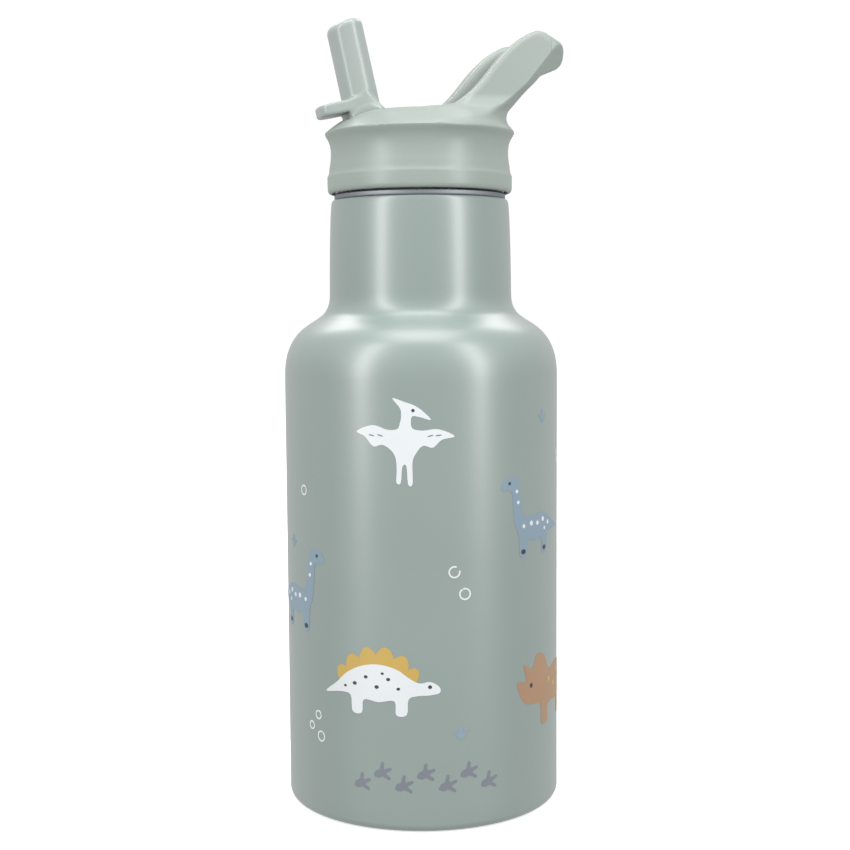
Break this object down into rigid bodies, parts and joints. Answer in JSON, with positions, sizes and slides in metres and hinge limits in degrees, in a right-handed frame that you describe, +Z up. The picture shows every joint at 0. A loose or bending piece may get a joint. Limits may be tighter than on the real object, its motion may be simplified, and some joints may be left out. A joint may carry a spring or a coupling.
{
  "type": "insulated straw water bottle",
  "caption": "Insulated steel drinking bottle with a screw lid, fixed carry loop and flip-up straw mouthpiece, printed with simple dinosaur motifs.",
  "frame": {"origin": "centre of the resting ring, on the surface the bottle stands on", "axes": "+Z up along the bottle axis, +X towards the carry loop, -X towards the drinking side"},
  "size_m": [0.07, 0.07, 0.1986],
  "materials": {
    "coated_shell": "satin powder coat in pale grey-green",
    "bare_steel": "brushed",
    "silicone": "matte translucent white",
    "lid_plastic": "fine satin texture in pale grey-green",
    "insert_plastic": "satin white",
    "straw_plastic": "translucent",
    "pin_steel": "polished pin",
    "mouthpiece_plastic": "smooth satin in pale grey-green",
    "print_white": "printed ink",
    "print_blue": "printed ink",
    "print_mustard": "printed ink",
    "print_brown": "printed ink",
    "print_dark": "printed ink"
  },
  "bodies": {
    "bottle": {"outer_shell": "coated_shell", "outer_shoulder": "coated_shell", "outer_neck": "coated_shell", "inner_liner": "bare_steel", "inner_shoulder": "bare_steel", "inner_neck": "bare_steel", "outer_bottom": "bare_steel", "base_cover": "coated_shell", "vacuum_seal": "bare_steel", "getter": "bare_steel"},
    "lid_seal": {"main_gasket": "silicone"},
    "lid": {"lid_shell": "lid_plastic", "lid_band": "lid_plastic", "threaded_insert": "insert_plastic", "spout_seal": "silicone", "straw_connector": "silicone", "straw": "straw_plastic", "air_vent_valve": "silicone", "hinge_pin_left": "pin_steel", "hinge_pin_right": "pin_steel"},
    "mouthpiece": {"mouthpiece": "mouthpiece_plastic"}
  },
  "joints": [
    {"name": "lid_lift", "type": "slide", "parent": "bottle", "child": "lid_seal", "axis": [0, 0, 1], "range_m": [0, 0.165]},
    {"name": "lid_turn", "type": "hinge", "parent": "lid_seal", "child": "lid", "pos_m": [0, 0, 0.16], "axis": [0, 0, 1], "range_deg": [0, 540]},
    {"name": "mouthpiece_flip", "type": "hinge", "parent": "lid", "child": "mouthpiece", "pos_m": [-0.014, 0, 0.172], "axis": [0, 1, 0], "range_deg": [0, 102]}
  ]
}
